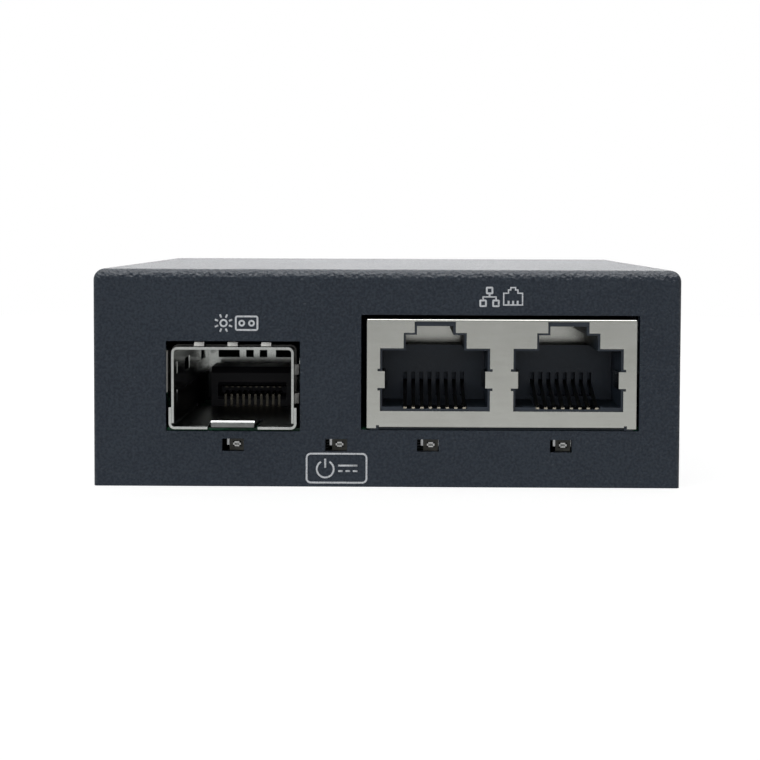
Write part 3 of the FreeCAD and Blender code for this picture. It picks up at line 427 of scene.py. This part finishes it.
light = {
    "end": 0.3 * mm,        # solder at each end of the body
    "endHigh": 0.9 * mm,
    "frame": 0.94 * mm,     # bright frame round the lens
    "frameHigh": 0.62 * mm,
    "wall": 0.2 * mm,
    "deep": 0.3 * mm,
    "edge": 0.015 * mm,
}
lightNodes = [name for name in nodes if name.startswith("light_")]


def lightPiece(newName, finish, shape):
    # one kind of element, made at each of the lights
    bm = bmesh.new()
    for name in lightNodes:
        low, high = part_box(name)
        low.x += light["end"]
        high.x -= light["end"]
        shape(bm, low, high)
    piece = settle(meshOf(bm, newName), finishes[finish])
    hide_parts(*lightNodes)


def lightBody(bm, low, high):
    roundedBox(bm, Vector((low.x, low.y + light["deep"], low.z)), high, light["edge"])


def lightFrame(bm, low, high):
    x, z = (low.x + high.x) / 2, (low.z + high.z) / 2
    w, h, wall = light["frame"] / 2, light["frameHigh"] / 2, light["wall"]
    back = low.y + light["deep"]
    bars = [(x - w, x - w + wall, z - h, z + h), (x + w - wall, x + w, z - h, z + h),
            (x - w, x + w, z - h, z - h + wall), (x - w, x + w, z + h - wall, z + h)]
    for x0, x1, z0, z1 in bars:
        roundedBox(bm, Vector((x0, low.y, z0)), Vector((x1, back, z1)), light["edge"])


def lightLens(bm, low, high):
    x, z = (low.x + high.x) / 2, (low.z + high.z) / 2
    w, h = light["frame"] / 2 - light["wall"], light["frameHigh"] / 2 - light["wall"]
    front, back = low.y + light["deep"] / 2, low.y + light["deep"]
    roundedBox(bm, Vector((x - w, front, z - h)), Vector((x + w, back, z + h)), light["edge"])


def lightEnds(bm, low, high):
    for x in (low.x - light["end"], high.x):
        start = Vector((x, low.y + light["deep"] / 2, high.z - light["endHigh"]))
        roundedBox(bm, start, Vector((x + light["end"], high.y, high.z)), light["edge"])


lightPiece("lightBodies", "light_body", lightBody)
lightPiece("lightFrames", "light_frame", lightFrame)
lightPiece("lightLenses", "clear_light", lightLens)
lightPiece("lightEnds", "light_end", lightEnds)
print("indicator lights made")

tongue = {
    "half": 2.6 * mm,
    "front": 0.02 * mm,     # behind the cage's mouth
    "deep": 0.28 * mm,
    "low": 0.22 * mm,       # above the board
    "high": 0.86 * mm,
    "edge": 0.13 * mm,
}


def tongueLip():
    # upturned end of the cage's latch tongue
    middle = (cageLow.x + cageHigh.x) / 2
    front, board = cageLow.y + tongue["front"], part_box("main_board")[1].z
    low = Vector((middle - tongue["half"], front, board + tongue["low"]))
    high = Vector((middle + tongue["half"], front + tongue["deep"], board + tongue["high"]))
    bm = bmesh.new()
    roundedBox(bm, low, high, tongue["edge"])
    settle(meshOf(bm, "tongueLip"), finishes["tongue_end"])


tongueLip()
print("tongue lip made")

paint = {
    "screen": 0.16 * mm,
    "thin": (0.3, 0.32, 0.35),
    "full": (0.68, 0.7, 0.73),
    "edge": (0.3, 0.5),
    "rough": (0.5, 0.7),
    "gloss": 0.3,
    "depth": 0.02 * mm,
}


def printInk():
    f = newFinish("printInk")
    screen = f.noise(paint["screen"], 3.0, 0.7)
    return f.done({
        "Base Color": f.mix(paint["thin"], paint["full"], f.ramp(screen, *paint["edge"])),
        "Roughness": f.between(*paint["rough"], screen),
        "Specular IOR Level": paint["gloss"],
        "Normal": f.bump(screen, paint["depth"]),
    })


ink = printInk()
mark = {"stroke": 0.23 * mm, "thick": 0.018 * mm, "steps": 24}


def inkStrokes(newName, strokes):
    # each stroke is (points as x and z in mm, closed); drawn as a round line pressed nearly flat
    curve = bpy.data.curves.new(newName, "CURVE")
    curve.dimensions = "3D"
    curve.bevel_depth = mark["stroke"] / 2
    curve.bevel_resolution = 3
    curve.use_fill_caps = True
    for points, closed in strokes:
        line = curve.splines.new("POLY")
        line.points.add(len(points) - 1)
        for point, (x, z) in zip(line.points, points):
            point.co = (x * mm, 0, z * mm, 1)
        line.use_cyclic_u = closed
    drawn = bpy.data.objects.new(newName + "Line", curve)
    bpy.context.scene.collection.objects.link(drawn)
    bpy.context.view_layer.update()
    mesh = bpy.data.meshes.new_from_object(drawn.evaluated_get(bpy.context.evaluated_depsgraph_get()))
    bpy.data.objects.remove(drawn)
    flat = mark["thick"] / (mark["stroke"] / 2)
    mesh.transform(Matrix.Translation((0, coverLow.y, 0)) @ Matrix.Diagonal((1, flat, 1, 1)))
    bm = bmesh.new()
    bm.from_mesh(mesh)
    bmesh.ops.remove_doubles(bm, verts=bm.verts, dist=seam["merge"])
    bmesh.ops.recalc_face_normals(bm, faces=bm.faces)
    bm.to_mesh(mesh)
    bm.free()
    mesh.name = newName
    mesh.shade_smooth()
    settle(mesh, ink)


def arc(cx, cz, radius, start, end):
    full = end - start >= 360
    count = mark["steps"] if full else max(3, round(mark["steps"] * (end - start) / 360)) + 1
    turn = [math.radians(start + (end - start) * i / (count if full else count - 1)) for i in range(count)]
    return [(cx + radius * math.cos(a), cz + radius * math.sin(a)) for a in turn]


def ring(cx, cz, radius):
    return (arc(cx, cz, radius, 0, 360), True)


def frameLine(x0, x1, z0, z1, radius):
    corners = [(x1 - radius, z1 - radius, 0), (x0 + radius, z1 - radius, 90),
               (x0 + radius, z0 + radius, 180), (x1 - radius, z0 + radius, 270)]
    return ([p for cx, cz, a in corners for p in arc(cx, cz, radius, a, a + 90)], True)


# in mm: x from the middle of the node that a mark belongs to, and z from the cover's foot
fibreMark = {"node": "fibre_cage_shell", "x": (-1.1, 1.65), "z": 19.55, "size": 1.12}
networkMark = {"node": "lan_jack_shield", "x": (-1.5, 1.3), "z": 22.8, "size": 1.12}
powerMark = {"node": "light_power", "x": (-1.65, 1.05), "z": 2.24, "size": 1.1,
             "frame": (-3.99, 3.4, 0.4, 4.1), "corner": 0.5}
jackStep = [(-1, -0.85), (1, -0.85), (1, 0.4), (0.5, 0.4), (0.5, 0.75), (0.25, 0.75), (0.25, 1.0),
            (-0.25, 1.0), (-0.25, 0.75), (-0.5, 0.75), (-0.5, 0.4), (-1, 0.4)]


def acrossFrom(node, *offsets):
    low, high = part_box(node)
    return [(low.x + high.x) / 2 / mm + x for x in offsets]


def markFibre():
    # a spot of light with its rays, and the two round ends of a fibre pair
    burst, pair = acrossFrom(fibreMark["node"], *fibreMark["x"])
    z, s = coverLow.z / mm + fibreMark["z"], fibreMark["size"]
    strokes = [ring(burst, z, 0.34 * s)]
    for i in range(8):
        a = math.radians(45 * i + 22.5)
        ray = [(burst + r * s * math.cos(a), z + r * s * math.sin(a)) for r in (0.62, 1.0)]
        strokes.append((ray, False))
    strokes.append(frameLine(pair - 1.15 * s, pair + 1.15 * s, z - 0.72 * s, z + 0.72 * s, 0.2))
    strokes += [ring(pair + d * s, z, 0.26 * s) for d in (-0.52, 0.52)]
    inkStrokes("markFibre", strokes)


def markNetwork():
    # three joined boxes, and a jack's outline with its latch step
    tree, jack = acrossFrom(networkMark["node"], *networkMark["x"])
    z, s = coverLow.z / mm + networkMark["z"], networkMark["size"]
    box, apart = 0.3 * s, 0.68 * s
    strokes = []
    for x, y in ((0, apart), (-apart, -apart), (apart, -apart)):
        strokes.append(frameLine(tree + x - box, tree + x + box, z + y - box, z + y + box, 0.06))
    strokes.append(([(tree, z + apart - box), (tree, z)], False))
    strokes.append(([(tree - apart, z - apart + box), (tree - apart, z),
                     (tree + apart, z), (tree + apart, z - apart + box)], False))
    strokes.append(([(jack + x * s, z + y * s) for x, y in jackStep], True))
    for x in (jack - 0.48 * s, jack, jack + 0.48 * s):
        strokes.append(([(x, z - 0.85 * s), (x, z - 0.4 * s)], False))
    inkStrokes("markNetwork", strokes)


def markPower():
    # the on sign and the direct current sign in their rounded frame
    left, right, bottom, top = powerMark["frame"]
    x0, x1, onSign, direct = acrossFrom(powerMark["node"], left, right, *powerMark["x"])
    foot, half = coverLow.z / mm, mark["stroke"] / mm / 2
    z, s = foot + powerMark["z"], powerMark["size"]
    strokes = [frameLine(x0 + half, x1 - half, foot + bottom + half, foot + top - half,
                         powerMark["corner"])]
    strokes.append((arc(onSign, z - 0.1, 0.92 * s, 120, 420), False))
    strokes.append(([(onSign, z + 0.05), (onSign, z + 1.05 * s)], False))
    strokes.append(([(direct - 1.05 * s, z + 0.3 * s), (direct + 1.05 * s, z + 0.3 * s)], False))
    for i in range(3):
        dash = direct + (-1.05 + i * 0.8) * s
        strokes.append(([(dash, z - 0.3 * s), (dash + 0.5 * s, z - 0.3 * s)], False))
    inkStrokes("markPower", strokes)


markFibre()
markNetwork()
markPower()
print("printed marks made")

ground = {
    "half": 1.6,
    "lift": 0.02 * mm,      # above the base plate's underside, so that the two never share a plane
    "paper": (0.5, 0.5, 0.497),
    "speck": 6 * mm,
    "speckShade": 0.985,
    "rough": 0.85,
    "gloss": 0.1,
    "shown": 0.82,          # its own light to the camera
    "mirrored": (0.6, 0.24),    # the same to metal, near and far
    "near": (0.1, 0.5),     # it runs into the white of the room between these
}


def makeFloor():
    f = newFinish("studioFloor")
    shade = tuple(ground["speckShade"] * c for c in ground["paper"])
    paper = f.add("BsdfPrincipled", {}, {
        "Base Color": f.mix(shade, ground["paper"], f.noise(ground["speck"])),
        "Roughness": ground["rough"], "Specular IOR Level": ground["gloss"]})["BSDF"]
    path = f.add("LightPath", {}, {})
    away = f.add("VectorMath", {"operation": "LENGTH"}, {0: f.place})["Value"]
    fade = f.between(0.0, 1.0, away, *ground["near"])
    # the camera sees it nearly white, and metal mirrors a duller one
    shown = path["Is Camera Ray"] * ground["shown"]
    mirrored = path["Is Glossy Ray"] * f.between(*ground["mirrored"], fade)
    both = f.add("AddShader", {}, {0: paper, 1: f.glow(shown + mirrored)})["Shader"]
    surface = f.add("MixShader", {}, {0: fade * path["Is Camera Ray"], 1: both, 2: f.glow(1.0)})["Shader"]
    f.add("OutputMaterial", {}, {"Surface": surface})
    bm = bmesh.new()
    up = Matrix.Translation((0, 0, ground["lift"]))
    bmesh.ops.create_grid(bm, x_segments=2, y_segments=2, size=ground["half"], matrix=up)
    mesh = meshOf(bm, "studioFloor")
    mesh.materials.append(f.owner)
    floor = bpy.data.objects.new("studioFloor", mesh)
    bpy.context.scene.collection.objects.link(floor)


# surfaces mirror a room that is darker on the camera's side and high up, with a wide soft light overhead;
# each has the part of the direction over which it changes, and its strengths at the two ends of that
room = {
    "ambient": 0.24,
    "cameraSide": ((-1.0, 0.35), (0.48, 1.0)),
    "highUp": ((0.4, 0.7), (1.0, 0.15)),
    "overhead": ((0.8, 0.88), (0.0, 5.0)),
}


def makeWorld():
    world = bpy.data.worlds.new("studioWorld")
    sky = Finish(world)
    way = sky.add("SeparateXYZ", {}, {0: sky.coordinates["Generated"]})

    def bright(name, axis):
        where, strength = room[name]
        return sky.between(*strength, way[axis], *where)

    mirrored = bright("cameraSide", "Y") * bright("highUp", "Z") + bright("overhead", "Z")
    path = sky.add("LightPath", {}, {})
    straight = sky.larger(path["Is Camera Ray"], path["Is Transmission Ray"])
    strength = sky.level(room["ambient"], mirrored, path["Is Glossy Ray"])
    strength = sky.level(strength, 1.0, straight)
    shell = sky.add("Background", {}, {"Color": (1, 1, 1), "Strength": strength})["Background"]
    sky.add("OutputWorld", {}, {"Surface": shell})
    bpy.context.scene.world = world


lamps = {
    "keyLamp": {"place": (-0.75, -0.85, 0.25), "size": 0.4, "power": 4.6, "mirrored": False},
    "fillLamp": {"place": (0.02, -1.15, 0.06), "size": 0.3, "power": 3.4, "mirrored": False},
    "rimLamp": {"place": (0.0, 0.9, 0.4), "size": 0.5, "power": 2.2, "mirrored": True},
}


def makeLamp(name, place, size, power, mirrored):
    lamp = bpy.data.lights.new(name, "AREA")
    lamp.shape = "SQUARE"
    lamp.size = size
    lamp.energy = power
    held = bpy.data.objects.new(name, lamp)
    held.location = place
    held.visible_glossy = mirrored
    aim = (coverLow + coverHigh) / 2 - Vector(place)
    held.rotation_euler = aim.to_track_quat("-Z", "Y").to_euler()
    bpy.context.scene.collection.objects.link(held)


# place in mm, turn in degrees, and the lens on a 36 mm sensor
shot = {"place": (2.06, -319.8, 31.03), "turn": (86.186, -0.213, 0.613), "lens": 108.64, "sensor": 36}


def makeCamera():
    lens = bpy.data.cameras.new("studioCamera")
    lens.sensor_width = shot["sensor"]
    lens.lens = shot["lens"]
    lens.clip_start = 10 * mm
    camera = bpy.data.objects.new("studioCamera", lens)
    camera.location = Vector(shot["place"]) * mm
    camera.rotation_euler = Euler([math.radians(a) for a in shot["turn"]], "XYZ")
    bpy.context.scene.collection.objects.link(camera)
    bpy.context.scene.camera = camera


makeFloor()
makeWorld()
for name, lamp in lamps.items():
    makeLamp(name, **lamp)
makeCamera()
bpy.context.scene.view_settings.view_transform = "Standard"
print("floor, lamps and camera set")
